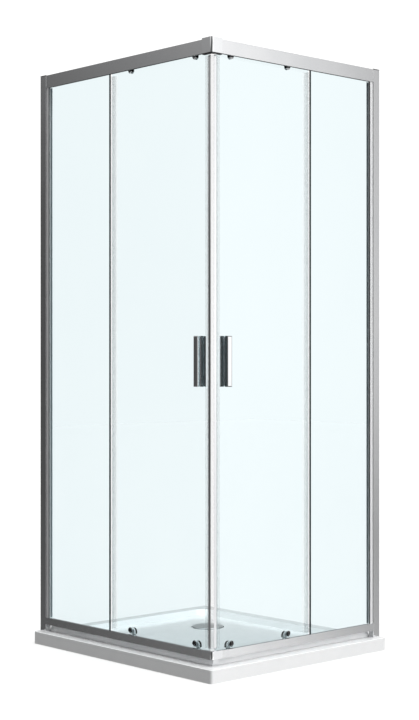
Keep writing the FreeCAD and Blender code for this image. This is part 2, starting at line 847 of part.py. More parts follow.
def rear_seal(side):
    """Strip over the door's rear edge, with a fin that reaches the fixed pane."""
    out, back = n_door + d.seal_t, n_door_back - d.seal_t
    start, end = side.door_end - d.rear_wrap, side.door_end + d.seal_t
    fin_tip = n_pane_back - d.fin_gap
    outline = [
        (start, out), (side.door_end, out), (side.door_end, fin_tip), (end, fin_tip),
        (end, back), (start, back), (start, n_door_back), (side.door_end, n_door_back),
        (side.door_end, n_door), (start, n_door),
    ]
    return keep(prism("rear_seal_" + side.name, side, "plan", [outline],
                      z_low_top + d.seal_end_gap, z_top_low - d.seal_end_gap))


def handle(side, place, glass_face, out):
    """Bar on two posts; out is 1 outside the door and -1 inside."""
    def span(near, far):
        ends = [glass_face + out * near, glass_face + out * far]
        return ends if out > 0 else ends[::-1]

    seat = d.washer_t + d.post_h
    half_w, half_h = d.handle_w / 2, d.handle_h / 2
    bar = rect(handle_u() - half_w, z_handle - half_h, handle_u() + half_w, z_handle + half_h)
    body = prism(f"{place}_handle_{side.name}", side, "face", [bar], *span(seat, seat + d.handle_d))
    front = glass_face + out * (seat + d.handle_d)
    round_edges(body, d.handle_edge_r, lambda edge: on_front(edge, front))
    posts = [Circle(handle_u(), height, d.post_r) for height in handle_heights()]
    pad(body, "face", posts, *span(d.washer_t, seat), side)
    sockets = [Circle(handle_u(), height, d.stud_r) for height in handle_heights()]
    cut(body, "face", sockets, *span(d.washer_t, d.washer_t + d.stud_bite), side)
    return keep(body)


def on_front(edge, front):
    box = edge.BoundBox
    return math.isclose(box.YMin, front.value) and math.isclose(box.YMax, front.value)


def handle_studs(side):
    lo = n_door_back - d.washer_t - d.stud_bite
    hi = n_door + d.washer_t + d.stud_bite
    members = []
    for i, height in enumerate(handle_heights()):
        rod = [Circle(handle_u(), height, d.stud_r)]
        members.append(prism(f"handle_stud_{side.name}_{i}", side, "face", rod, lo, hi))
    return group("handle_studs_" + side.name, members)


def handle_washers(side):
    members = []
    for height in handle_heights():
        ring = [Circle(handle_u(), height, d.washer_r), Circle(handle_u(), height, d.stud_r)]
        for lo in (n_door, n_door_back - d.washer_t):
            label = f"handle_washer_{side.name}_{len(members)}"
            members.append(prism(label, side, "face", ring, lo, lo + d.washer_t))
    return group("handle_washers_" + side.name, members)


def add_axle(body, side, u, z, root, out):
    """Stub axle with a head that keeps the wheel on; out is the way it points along n."""
    tip = root + out * (d.wheel_gap + d.wheel_w + d.axle_head_gap)
    end = tip + out * d.axle_head_t
    for near, far, radius in ((root, tip, d.axle_r), (tip, end, d.axle_head_r)):
        lo, hi = (near, far) if out > 0 else (far, near)
        pad(body, "face", [Circle(u, z, radius)], lo, hi, side)


def top_roller_carriers(side):
    """Plates behind the glass that carry the top wheels, each with a boss through the glass."""
    members = []
    half = d.carrier_w / 2
    for name, u in zip(ROLLERS, side.rollers):
        body = new_body(f"top_roller_carrier_{side.name}_{name}", side)
        pad(body, "face", [Circle(u, z_top_roller, d.roller_cap_r)], n_plate_back, n_door_back, side)
        arm = rect(u - half, z_top_roller, u + half, z_top_axle + half)
        pad(body, "face", [arm], n_plate_back, n_door_back, side)
        pad(body, "face", [Circle(u, z_top_roller, d.boss_r)], n_door_back, n_door, side)
        add_axle(body, side, u, z_top_axle, n_plate_back, -1)
        bore = Circle(u, z_top_roller, d.boss_screw_r + d.screw_fit)
        cut(body, "face", [bore], n_plate_back, n_door, side)
        members.append(body)
    return group("top_roller_carriers_" + side.name, members)


def roller_caps(side):
    """Domed caps outside the glass, each with the screw that holds its roller."""
    depth = d.glass_t + d.plate_t
    profile = [
        (0, -depth), (d.boss_screw_r, -depth), (d.boss_screw_r, 0), (d.roller_cap_r, 0),
        (d.roller_cap_r, d.roller_cap_rim), (d.roller_dome_r, d.roller_cap_t), (0, d.roller_cap_t),
    ]
    members = []
    for u in side.rollers:
        for z in (z_low_roller, z_top_roller):
            label = f"roller_cap_{side.name}_{len(members)}"
            members.append(lathe(label, profile, side, u, n_door, z))
    return group("roller_caps_" + side.name, members)


def wheel(label, side, u, z, n_mid, radius):
    """Grooved wheel that runs astride the track rib."""
    bore = d.axle_r + d.axle_fit
    half, groove = d.wheel_w / 2, d.groove_w / 2
    tread = radius - d.groove_depth
    profile = [
        (bore, -half), (radius, -half), (radius, -groove), (tread, -groove),
        (tread, groove), (radius, groove), (radius, half), (bore, half),
    ]
    return keep(lathe(label, profile, side, u, n_mid, z))


def bottom_roller_housings(side):
    """Arched housings behind the glass, each open below for its release slider."""
    members = []
    slot = d.slider_w / 2 + d.slider_fit
    low = z_low_roller - d.housing_drop
    for name, u in zip(ROLLERS, side.rollers):
        body = new_body(f"bottom_roller_housing_{side.name}_{name}", side)
        pad(body, "face", [Circle(u, z_arch, d.housing_r)], n_housing_back, n_door_back, side)
        skirt = rect(u - d.housing_r, low, u + d.housing_r, z_arch)
        pad(body, "face", [skirt], n_housing_back, n_door_back, side)
        below = rect(u - d.housing_r, low - d.housing_r, u + d.housing_r, low)
        cut(body, "face", [below], n_housing_back, n_door_back, side)
        cut(body, "face", [rect(u - slot, low, u + slot, z_bridge)], n_housing_back, n_plate_back, side)
        pad(body, "face", [Circle(u, z_low_roller, d.boss_r)], n_door_back, n_door, side)
        bore = Circle(u, z_low_roller, d.boss_screw_r + d.screw_fit)
        cut(body, "face", [bore], n_plate_back, n_door, side)
        members.append(body)
    return group("bottom_roller_housings_" + side.name, members)


def release_slider(side, name, u):
    """Block that lifts a bottom wheel off its rib, with a tongue down to the axle and a finger tab."""
    half = d.slider_w / 2
    body = prism(f"release_slider_{side.name}_{name}", side, "face",
                 [rect(u - half, z_slider, u + half, z_slider_top)], n_slider_back, n_slider)
    foot = z_low_axle - d.axle_head_r
    tongue = rect(u - half, foot, u + half, z_slider)
    root = n_slider_back + d.tongue_t
    pad(body, "face", [tongue], n_slider_back, root, side)
    tab_half = d.tab_w / 2
    tab = rect(u - tab_half, z_slider, u + tab_half, z_slider + d.tab_h)
    pad(body, "face", [tab], n_slider_back - d.tab_d, n_slider_back, side)
    add_axle(body, side, u, z_low_axle, root, 1)
    return keep(body)


def release_springs(side):
    """Coils between each slider and the bridge of its housing."""
    gap = z_bridge - z_slider_top
    height = gap.value - 2 * (d.spring_wire_r.value + d.spring_seat.value)
    radius, wire = d.spring_r.value, d.spring_wire_r.value
    corners = []
    for corner in range(SPRING_WIRE_SIDES + 1):
        turn = math.tau * corner / SPRING_WIRE_SIDES
        corners.append(Vector(radius + wire * math.cos(turn), 0, wire * math.sin(turn)))
    ring = Part.makePolygon(corners)
    members = []
    for name, u in zip(ROLLERS, side.rollers):
        helix = Part.makeHelix(height / d.spring_turns.value, height, radius)
        coil = doc.addObject("Part::Feature", f"release_spring_{side.name}_{name}")
        coil.Shape = Part.Wire(helix).makePipeShell([ring], True, True)
        seat = z_slider_top + d.spring_wire_r + d.spring_seat
        side.place(coil, u, (n_slider + n_slider_back) / 2, seat)
        members.append(coil)
    return group("release_springs_" + side.name, members)


def build_door(side):
    door_glass(side)
    magnet_seal(side)
    rear_seal(side)
    handle(side, "outer", n_door, 1)
    handle(side, "inner", n_door_back, -1)
    handle_studs(side)
    handle_washers(side)
    top_roller_carriers(side)
    roller_caps(side)
    bottom_roller_housings(side)
    release_springs(side)
    for name, u in zip(ROLLERS, side.rollers):
        wheel(f"top_wheel_{side.name}_{name}", side, u, z_top_axle, n_rib, d.top_wheel_r)
        release_slider(side, name, u)
        wheel(f"bottom_wheel_{side.name}_{name}", side, u, z_low_axle, n_low_rib, d.low_wheel_r)


def build_frame():
    for side in SIDES:
        wall_channel(side)
        jamb_profile(side)
        top_rail(side)
        bottom_rail(side)
        sill(side)
        fixed_glass(side)
        pane_gasket(side)
    group("post_caps", [make(side) for make in (post_cap, post_foot) for side in SIDES])
    group("door_stops", [door_stop(side) for side in SIDES])
    corner_joint("top_corner_joint", z_top_low, z_top + d.block_rise, z_top_web, z_top + d.block_rise,
                 z_top_low + d.wall_t, z_top_web)
    corner_joint("bottom_corner_joint", z_low, z_low_top + d.block_proud, z_low, z_low_web,
                 z_low_web, z_low_top - d.wall_t)
    jamb_screws()
    rail_screws()
    corner_screws()


def check_and_write():
    doc.recompute()
    for thing in doc.Objects:
        if "Invalid" in thing.State or "Error" in thing.State:
            raise RuntimeError(f"{thing.Label} failed: {thing.State}")
    for part in parts:
        if part.Shape.isNull() or not part.Shape.isValid():
            raise RuntimeError(f"{part.Label} has no valid shape")
    os.makedirs("parts", exist_ok=True)
    for part in parts:
        part.Shape.exportStep(f"parts/{part.Label}.step")
    print(len(parts), "sub-parts,", sum(len(part.Shape.Solids) for part in parts), "solids")
    for side in SIDES:
        print("door", side.name, "travel", round(side.travel.value, 2))


shower_tray()
waste_body()
waste_seal()
waste_cover()
build_frame()
for door_side in SIDES:
    build_door(door_side)
check_and_write()
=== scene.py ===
# Looks of the corner-entry shower enclosure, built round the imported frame.
# Metres, +Z up, walls at -X and +Y.
import math

import bmesh
import bpy
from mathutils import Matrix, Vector


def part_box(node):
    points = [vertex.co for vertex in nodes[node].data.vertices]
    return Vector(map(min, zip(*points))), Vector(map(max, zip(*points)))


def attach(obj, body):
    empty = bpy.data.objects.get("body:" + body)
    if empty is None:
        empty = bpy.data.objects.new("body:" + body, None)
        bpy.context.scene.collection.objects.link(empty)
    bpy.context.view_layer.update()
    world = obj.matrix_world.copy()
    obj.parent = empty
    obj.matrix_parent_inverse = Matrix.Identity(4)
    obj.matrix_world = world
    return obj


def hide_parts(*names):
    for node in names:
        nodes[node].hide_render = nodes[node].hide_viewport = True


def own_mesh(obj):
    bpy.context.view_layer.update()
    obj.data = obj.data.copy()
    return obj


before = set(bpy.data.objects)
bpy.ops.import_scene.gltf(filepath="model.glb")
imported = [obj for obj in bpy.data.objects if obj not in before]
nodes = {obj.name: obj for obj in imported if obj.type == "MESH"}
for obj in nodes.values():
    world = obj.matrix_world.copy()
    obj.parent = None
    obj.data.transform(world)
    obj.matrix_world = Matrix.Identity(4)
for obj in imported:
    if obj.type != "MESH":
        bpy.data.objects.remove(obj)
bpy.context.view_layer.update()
scene = bpy.context.scene
SIDES = ("x", "y")
ENDS = ("front", "rear")
WHITE = (1.0, 1.0, 1.0, 1.0)

# Camera, fitted to the edges of the frame and tray
LENS_MM = 75.27
SENSOR_MM = 36.0
CAMERA_AT = (3.7712, -3.4751, 0.9769)
CAMERA_YAW = math.radians(47.273)
CAMERA_PITCH = math.radians(-0.01)
FAR_CLIP = 100.0
SEE_THROUGH_LAYERS = 24

# Places in the frame, which stands in from the tray's outer edges by the lip
TRAY_LOW, TRAY_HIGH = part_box("shower_tray")
LIP = 0.028
CORNER_X = TRAY_HIGH.x - LIP
CORNER_Y = TRAY_LOW.y + LIP
TOWARDS_CORNER = {"x": Vector((1.0, 0.0, 0.0)), "y": Vector((0.0, -1.0, 0.0))}
UP = Vector((0.0, 0.0, 1.0))


def spot(side, u, n, z):
    """Point u from the frame's corner towards the wall, n outwards from its front, at height z."""
    if side == "x":
        return Vector((CORNER_X - u, CORNER_Y - n, z))
    return Vector((CORNER_X + n, CORNER_Y + u, z))


def reach(side, point):
    """How far a point is from the frame's corner towards the wall."""
    if side == "x":
        return CORNER_X - point.x
    return point.y - CORNER_Y


def depth(side, point):
    """How far a point is outwards from the frame's front."""
    if side == "x":
        return CORNER_Y - point.y
    return point.x - CORNER_X


def end_of(node_name, way):
    """How far a node reaches along a unit vector."""
    return max(vertex.co.dot(way) for vertex in nodes[node_name].data.vertices)


def wheel_u(side, end):
    """How far a bottom wheel's centre is from the frame's corner."""
    wheel_low, wheel_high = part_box(f"bottom_wheel_{side}_{end}")
    return reach(side, (wheel_low + wheel_high) / 2)


# Node trees

# Sockets of a Mix node that carry colours
MIX_FIRST = 6
MIX_SECOND = 7
MIX_RESULT = 2
# Most of a noise pattern lies between these values, and most of two multiplied between the next
NOISE_LOW, NOISE_HIGH = 0.3, 0.7
PRODUCT_LOW, PRODUCT_HIGH = 0.1, 0.4


def feed(tree, socket, value):
    if isinstance(value, bpy.types.NodeSocket):
        tree.links.new(value, socket)
    else:
        socket.default_value = value


def set_inputs(tree, node, inputs):
    for name, value in inputs.items():
        feed(tree, node.inputs[name], value)


def add(tree, kind, inputs=None, **settings):
    made = tree.nodes.new("ShaderNode" + kind)
    for name, value in settings.items():
        setattr(made, name, value)
    set_inputs(tree, made, inputs or {})
    return made


def calc(tree, operation, first, second):
    return add(tree, "Math", {0: first, 1: second}, operation=operation).outputs[0]


def dot(tree, vector, way):
    return add(tree, "VectorMath", {0: vector, 1: way}, operation="DOT_PRODUCT").outputs["Value"]


def object_coords(tree, scale=(1.0, 1.0, 1.0)):
    coords = add(tree, "TexCoord").outputs["Object"]
    return add(tree, "Mapping", {"Vector": coords, "Scale": scale}).outputs["Vector"]


def noise(tree, vector, scale, detail):
    return add(tree, "TexNoise", {"Vector": vector, "Scale": scale, "Detail": detail}).outputs["Fac"]


def span(tree, value, low, high, from_low=NOISE_LOW, from_high=NOISE_HIGH, interpolation="LINEAR"):
    """Move a value from one range to the range from low to high."""
    inputs = {"Value": value, "From Min": from_low, "From Max": from_high, "To Min": low, "To Max": high}
    return add(tree, "MapRange", inputs, interpolation_type=interpolation).outputs["Result"]


def blend_colour(tree, factor, first, second):
    made = add(tree, "Mix", data_type="RGBA")
    feed(tree, made.inputs["Factor"], factor)
    feed(tree, made.inputs[MIX_FIRST], (*first, 1.0))
    feed(tree, made.inputs[MIX_SECOND], (*second, 1.0))
    return made.outputs[MIX_RESULT]


def clouded(tree, clouds, pale, deep):
    """Colour that wanders with a noise pattern from pale to deep."""
    return blend_colour(tree, span(tree, clouds, 0.0, 1.0), pale, deep)


def bump(tree, height, strength, distance):
    inputs = {"Height": height, "Strength": strength, "Distance": distance}
    return add(tree, "Bump", inputs).outputs["Normal"]


def reached(tree, way):
    """How far a point of the piece lies along a unit vector."""
    return dot(tree, object_coords(tree), way)


def shader_of(material):
    return material.node_tree.nodes["Principled BSDF"]


def principled(name):
    made = bpy.data.materials.new(name)
    made.use_nodes = True
    return made, made.node_tree, shader_of(made)


# Materials

GRAIN_ALONG = 6.0
GRAIN_ACROSS = 1400.0
GRAINS = {
    "x": (GRAIN_ALONG, GRAIN_ACROSS, GRAIN_ACROSS),
    "y": (GRAIN_ACROSS, GRAIN_ALONG, GRAIN_ACROSS),
    "z": (GRAIN_ACROSS, GRAIN_ACROSS, GRAIN_ALONG),
}
EVEN_GRAIN = (40.0, 40.0, 40.0)
GRAIN_DEPTH = 0.00002
METAL_CLOUDS = 9.0
METAL_DETAIL = 4.0
SKIN_DEPTH = 0.0001
SKIN_DETAIL = 5.0
PLASTIC_CLOUDS = 18.0
PLASTIC_DETAIL = 3.0
COAT_ROUGHNESS = 0.08


def metal(name, pale, deep, gloss, grain, relief):
    """Metal with fine lines along its grain, slow clouding of its gloss and a little colour variation."""
    made, tree, shader = principled(name)
    lines = noise(tree, object_coords(tree, grain), 1.0, METAL_DETAIL)
    clouds = noise(tree, object_coords(tree), METAL_CLOUDS, METAL_DETAIL)
    mixed = calc(tree, "MULTIPLY", lines, clouds)
    set_inputs(tree, shader, {
        "Base Color": clouded(tree, clouds, pale, deep),
        "Metallic": 1.0,
        "Roughness": span(tree, mixed, *gloss, PRODUCT_LOW, PRODUCT_HIGH),
        "Normal": bump(tree, lines, relief, GRAIN_DEPTH),
    })
    return made


def plastic(name, pale, deep, gloss, coat, pebble, relief):
    """Moulded plastic with a fine skin texture and slight shade variation."""
    made, tree, shader = principled(name)
    skin = noise(tree, object_coords(tree), pebble, SKIN_DETAIL)
    clouds = noise(tree, object_coords(tree), PLASTIC_CLOUDS, PLASTIC_DETAIL)
    set_inputs(tree, shader, {
        "Base Color": clouded(tree, clouds, pale, deep),
        "Roughness": span(tree, skin, *gloss),
        "Coat Weight": coat,
        "Coat Roughness": COAT_ROUGHNESS,
        "Normal": bump(tree, skin, relief, SKIN_DEPTH),
    })
    return made


# Metals: pale and deep colour, least and most roughness, grain, relief
ALUMINIUM = {
    axis: metal("aluminium_" + axis, (0.84, 0.845, 0.855), (0.80, 0.81, 0.825), (0.1, 0.2), grain, 0.25)
    for axis, grain in GRAINS.items()
}
SATIN = metal("satin_aluminium", (0.93, 0.935, 0.94), (0.89, 0.9, 0.91), (0.5, 0.62), GRAINS["z"], 0.25)
CHROME = metal("chrome", (0.86, 0.87, 0.88), (0.83, 0.84, 0.855), (0.04, 0.1), EVEN_GRAIN, 0.08)
STEEL = metal("steel", (0.62, 0.62, 0.63), (0.55, 0.55, 0.57), (0.22, 0.4), GRAINS["z"], 0.4)
DRAWN_STEEL = metal("drawn_steel", (0.76, 0.78, 0.79), (0.71, 0.73, 0.74), (0.24, 0.38), GRAINS["x"], 0.3)

# Plastics: pale and deep colour, least and most roughness, coat, fineness of the skin, relief
BLACK_SKIN = ((0.12, 0.22), 0.1, 900.0, 0.06)
ACRYLIC = plastic("acrylic", (0.91, 0.915, 0.92), (0.885, 0.895, 0.9), (0.14, 0.24), 0.4, 60.0, 0.03)
BLACK = plastic("black_plastic", (0.008, 0.008, 0.009), (0.014, 0.014, 0.016), *BLACK_SKIN)
PALE = plastic("pale_plastic", (0.87, 0.88, 0.885), (0.84, 0.85, 0.86), (0.12, 0.22), 0.4, 900.0, 0.05)
ACETAL = plastic("acetal", (0.80, 0.80, 0.77), (0.74, 0.74, 0.71), (0.35, 0.5), 0.0, 700.0, 0.1)
GASKET = plastic("gasket", (0.84, 0.86, 0.87), (0.78, 0.80, 0.81), (0.3, 0.5), 0.0, 900.0, 0.15)
PAD = plastic("pad", (0.55, 0.56, 0.57), (0.48, 0.49, 0.50), (0.4, 0.6), 0.0, 900.0, 0.15)
RUBBER = plastic("rubber", (0.02, 0.021, 0.022), (0.035, 0.036, 0.037), (0.55, 0.75), 0.0, 1500.0, 0.3)


def clear_seal(name):
    return plastic(name, (0.70, 0.72, 0.73), (0.64, 0.66, 0.675), (0.12, 0.25), 0.0, 500.0, 0.08)


# How solid the clear gaskets and seals look
GASKET_COVER = 0.75
SEAL_COVER = 0.14
SEAL = clear_seal("seal")
shader_of(GASKET).inputs["Alpha"].default_value = GASKET_COVER
shader_of(SEAL).inputs["Alpha"].default_value = SEAL_COVER

GLASS = (0.888, 0.930, 0.938)
GLASS_DEEP = (0.884, 0.927, 0.936)
GLASS_IOR = 1.45
GLASS_CLOUDS = 5.0
GLASS_DETAIL = 2.0
GLASS_ROUGHNESS = 0.015
EDGE_WIDTH = 0.0016
EDGE = (0.012, 0.03, 0.033)
EDGE_DEEP = (0.008, 0.022, 0.025)
EDGE_ROUGHNESS = 0.2
EDGE_SPECULAR = 0.2
# How solid the dark edge of each kind of pane looks
EDGE_COVER = {"fixed_glass": 0.97, "door_glass": 0.25}


def pane(name, towards_corner, edge_cover):
    """Clear glass: a tint, a Fresnel reflection, and a dark green cast at the edge towards the corner."""
    made, tree, shader = principled(name)
    clouds = noise(tree, object_coords(tree), GLASS_CLOUDS, GLASS_DETAIL)
    clear = add(tree, "BsdfTransparent", {"Color": clouded(tree, clouds, GLASS, GLASS_DEEP)})
    gloss = add(tree, "BsdfGlossy", {"Roughness": span(tree, clouds, 0.0, GLASS_ROUGHNESS)})
    fresnel = add(tree, "Fresnel", {"IOR": GLASS_IOR}).outputs[0]
    behind = add(tree, "NewGeometry").outputs["Backfacing"]
    front = calc(tree, "SUBTRACT", 1.0, behind)
    mirrored = calc(tree, "MULTIPLY", fresnel, front)
    face = add(tree, "MixShader", {"Fac": mirrored, 1: clear.outputs[0], 2: gloss.outputs[0]})
    set_inputs(tree, shader, {
        "Base Color": clouded(tree, clouds, EDGE, EDGE_DEEP),
        "Roughness": EDGE_ROUGHNESS,
        "Specular IOR Level": EDGE_SPECULAR,
        "Alpha": edge_cover,
    })
    edge_from = end_of(name, towards_corner) - EDGE_WIDTH
    on_edge = calc(tree, "GREATER_THAN", reached(tree, towards_corner), edge_from)
    both = add(tree, "MixShader", {"Fac": on_edge, 1: face.outputs[0], 2: shader.outputs[0]})
    feed(tree, tree.nodes["Material Output"].inputs["Surface"], both.outputs[0])
    return made


# How solid a rear seal's flap is at its free edge, and how far from that edge it thins out
FLAP_COVER = 0.02
FLAP_FADE = (0.012, 0.006)


def rear_seal(name, towards_corner):
    """Clear seal whose flap thins out towards its free edge."""
    made = clear_seal(name)
    tree = made.node_tree
    free_edge = end_of(name, towards_corner)
    thick, thin = (free_edge - inset for inset in FLAP_FADE)
    cover = span(tree, reached(tree, towards_corner), SEAL_COVER, FLAP_COVER, thick, thin)
    feed(tree, shader_of(made).inputs["Alpha"], cover)
    return made


# Radius of a roller cap, height of the pale foot that is a painted highlight on the upper caps, and a
# height between the lower and the upper rollers
CAP_R = 0.0085
CAP_GLINT_HEIGHT = 0.0052
MIDWAY = 1.0
CAP_DARK = (0.01, 0.01, 0.011)
CAP_GLINT_PAINT = (0.80, 0.81, 0.82)


def roller_plastic(name):
    """Black plastic of the rollers, with a pale foot on the upper ones as a painted highlight."""
    made = plastic(name, CAP_DARK, CAP_DARK, *BLACK_SKIN)
    tree = made.node_tree
    glint_top = end_of("roller_caps_x", UP) - 2 * CAP_R + CAP_GLINT_HEIGHT
    height = reached(tree, UP)
    in_glint = calc(tree, "LESS_THAN", height, glint_top)
    upper = calc(tree, "GREATER_THAN", height, MIDWAY)
    painted_glint = calc(tree, "MULTIPLY", in_glint, upper)
    # Pale foot of the upper caps: painted highlight standing in for their glint
    feed(tree, shader_of(made).inputs["Base Color"], blend_colour(tree, painted_glint, CAP_DARK, CAP_GLINT_PAINT))
    return made


ROLLER = roller_plastic("roller_plastic")

# Finishes of single nodes
NODE_FINISHES = {}
for side, towards_corner in TOWARDS_CORNER.items():
    for run in ("top_rail", "bottom_rail"):
        NODE_FINISHES[f"{run}_{side}"] = ALUMINIUM[side]
    for glazing, cover in EDGE_COVER.items():
        pane_name = f"{glazing}_{side}"
        NODE_FINISHES[pane_name] = pane(pane_name, towards_corner, cover)
    seal_name = "rear_seal_" + side
    NODE_FINISHES[seal_name] = rear_seal(seal_name, towards_corner)

# Finishes of the other nodes, by how their names start
FINISHES = {
    "shower_tray": ACRYLIC,
    "waste_body": CHROME,
    "waste_seal": RUBBER,
    "waste_cover": DRAWN_STEEL,
    "wall_channel": ALUMINIUM["z"],
    "jamb_profile": SATIN,
    "sill": SATIN,
    "post_caps": BLACK,
    "door_stops": BLACK,
    "top_corner_joint": CHROME,
    "bottom_corner_joint": CHROME,
    "jamb_screws": STEEL,
    "rail_screws": STEEL,
    "corner_screws": STEEL,
    "pane_gasket": GASKET,
    "magnet_seal": SEAL,
    "outer_handle": CHROME,
    "inner_handle": CHROME,
    "handle_studs": STEEL,
    "handle_washers": SEAL,
    "top_roller_carriers": ROLLER,
    "roller_caps": ROLLER,
    "bottom_roller_housings": PALE,
    "release_springs": STEEL,
    "release_slider": PALE,
    "top_wheel": ACETAL,
    "bottom_wheel": ACETAL,
}


def finish_of(name):
    if name in NODE_FINISHES:
        return NODE_FINISHES[name]
    for start, finish in FINISHES.items():
        if name.startswith(start):
            return finish
    raise KeyError(name)


def dress(piece, finish):
    piece.data.materials.clear()
    piece.data.materials.append(finish)


for node_name, node_object in nodes.items():
    dress(node_object, finish_of(node_name))


# Softened edges

WELD = 0.00001
EDGE_ANGLE = math.radians(40)


def soften(piece, width, segments):
    weld = piece.modifiers.new("weld", "WELD")
    weld.merge_threshold = WELD
    bevel = piece.modifiers.new("edges", "BEVEL")
    bevel.width = width
    bevel.segments = segments
    bevel.limit_method = "ANGLE"
    bevel.angle_limit = EDGE_ANGLE
    bevel.harden_normals = True


# Width of the softened edge and its segments, on both sides and at the corner
SIDE_EDGES = {
    "top_rail": (0.0006, 2),
    "bottom_rail": (0.0006, 2),
    "sill": (0.0005, 2),
    "wall_channel": (0.0006, 2),
    "jamb_profile": (0.0005, 2),
    "roller_caps": (0.0012, 4),
}
CORNER_EDGES = (0.0009, 3)
for start, edges in SIDE_EDGES.items():
    for side in SIDES:
        soften(nodes[f"{start}_{side}"], *edges)
for joint in ("top_corner_joint", "bottom_corner_joint"):
    soften(nodes[joint], *CORNER_EDGES)


# Pieces of its own

def link(name, mesh, body, finish):
    piece = bpy.data.objects.new(name, mesh)
    scene.collection.objects.link(piece)
    dress(piece, finish)
    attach(piece, body)
    return piece


def mesh_of(name, shape):
    mesh = bpy.data.meshes.new(name)
    shape.to_mesh(mesh)
    shape.free()
    return mesh


def loft(name, rings, body, finish):
    """Closed skin over a row of rings of points, with a cap at each end."""
    shape = bmesh.new()
    rows = [[shape.verts.new(point) for point in ring] for ring in rings]
    for row, after in zip(rows, rows[1:]):
        for i in range(len(row)):
            shape.faces.new((row[i - 1], row[i], after[i], after[i - 1]))
    for cap in (rows[0], rows[-1]):
        shape.faces.new(cap)
    bmesh.ops.recalc_face_normals(shape, faces=shape.faces)
    return link(name, mesh_of(name, shape), body, finish)


def upright_strip(name, side, section, low, high, body, finish):
    """Strip of even section, from height low to high; the section holds (u, n) points."""
    rings = [[spot(side, u, n, z) for u, n in section] for z in (low, high)]
    return loft(name, rings, body, finish)


def oblong(near, far, back, front):
    return [(near, back), (near, front), (far, front), (far, back)]


# Bright strip over the magnet in each door's front seal, on the n of the seal's face
SEAL_FACE = -0.0245
STRIP_U = (0.0315, 0.0420)
STRIP_RISE = 0.0007
STRIP_CHAMFER = 0.0009
STRIP_END = 0.0004
near, far = STRIP_U
shoulder, crown = SEAL_FACE + STRIP_RISE / 2, SEAL_FACE + STRIP_RISE
section = [
    (near, SEAL_FACE), (far, SEAL_FACE), (far, shoulder),
    (far - STRIP_CHAMFER, crown), (near + STRIP_CHAMFER, crown), (near, shoulder),
]
for side in SIDES:
    seal_low, seal_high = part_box("magnet_seal_" + side)
    upright_strip("magnet_strip_" + side, side, section, seal_low.z + STRIP_END, seal_high.z - STRIP_END,
                  "door_" + side, CHROME)


# Bright trim on each top rail where it meets the wall post, with a dark rubber strip beside it as painted
# shadow of the gap at the joint
TRIM_WIDTH = 0.0026
TRIM_PROUD = 0.0005
TRIM_SUNK = 0.0003
TRIM_ROUND = 0.0003
TRIM_SHADOW_WIDTH = 0.0012
TRIM_SHADOW_PROUD = 0.0002
for side in SIDES:
    rail_low, rail_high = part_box("top_rail_" + side)
    rail_end = max(reach(side, rail_low), reach(side, rail_high))
    trim_end = rail_end - TRIM_SHADOW_WIDTH
    trims = {
        "rail_trim": (trim_end - TRIM_WIDTH, trim_end, TRIM_PROUD, SATIN, "bright_aluminium"),
        # Dark strip at the rail's end: painted shadow of the gap between rail and post
        "rail_shadow_strip": (trim_end, rail_end, TRIM_SHADOW_PROUD, RUBBER, "gasket_rubber"),
    }
    for name, (near, far, proud, finish, slot) in trims.items():
        section = [
            (near, -TRIM_SUNK), (near, proud / 2), (near + TRIM_ROUND, proud),
            (far - TRIM_ROUND, proud), (far, proud / 2), (far, -TRIM_SUNK),
        ]
        upright_strip(f"{name}_{side}", side, section, rail_low.z, rail_high.z, "base", finish)


# Dark gasket on each jamb beside the glass, and a dark strip beside the wall channel as painted shadow of
# the gap between jamb and channel
JAMB_GASKET_T = 0.0010
JAMB_GASKET_DEPTH = 0.004
CHANNEL_SHADOW_WIDTH = 0.0010
CHANNEL_SHADOW_PROUD = 0.0004
for side in SIDES:
    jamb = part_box("jamb_profile_" + side)
    jamb_u = min(reach(side, corner) for corner in jamb)
    jamb_n = max(depth(side, corner) for corner in jamb)
    channel_u = min(reach(side, corner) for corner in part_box("wall_channel_" + side))
    proud_n = jamb_n + CHANNEL_SHADOW_PROUD
    gasket_and_shadow_strips = {
        "jamb_gasket": oblong(jamb_u - JAMB_GASKET_T, jamb_u, jamb_n - JAMB_GASKET_DEPTH, jamb_n),
        # Dark strip beside the wall channel: painted shadow of the gap between jamb and channel
        "channel_shadow_strip": oblong(channel_u - CHANNEL_SHADOW_WIDTH, channel_u, jamb_n, proud_n),
    }
    for name, section in gasket_and_shadow_strips.items():
        upright_strip(f"{name}_{side}", side, section, jamb[0].z, jamb[1].z, "base", RUBBER)


# Bright plate over the foot of each wall post, beside the sill
PLATE_T = 0.0008
PLATE_WIDTH = 0.0195
for side in SIDES:
    channel_low, channel_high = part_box("wall_channel_" + side)
    post_front = min(reach(side, channel_low), reach(side, channel_high))
    section = oblong(post_front - PLATE_T, post_front, -PLATE_WIDTH, 0.0)
    upright_strip("foot_plate_" + side, side, section, channel_low.z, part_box("bottom_rail_" + side)[0].z,
                  "base", SATIN)


# Black pad under the top corner joint
CORNER_PAD_T = 0.004
CORNER_PAD_SET = 0.0006
CORNER_PAD_WIDTH = 0.010
CORNER_PAD_REACH = 0.043
joint_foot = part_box("top_corner_joint")[0].z
outer, inner = CORNER_PAD_SET, CORNER_PAD_SET + CORNER_PAD_WIDTH
section = [
    (outer, -outer), (CORNER_PAD_REACH, -outer), (CORNER_PAD_REACH, -inner),
    (inner, -inner), (inner, -CORNER_PAD_REACH), (outer, -CORNER_PAD_REACH),
]
upright_strip("corner_pad", "x", section, joint_foot - CORNER_PAD_T, joint_foot,
              "base", BLACK)


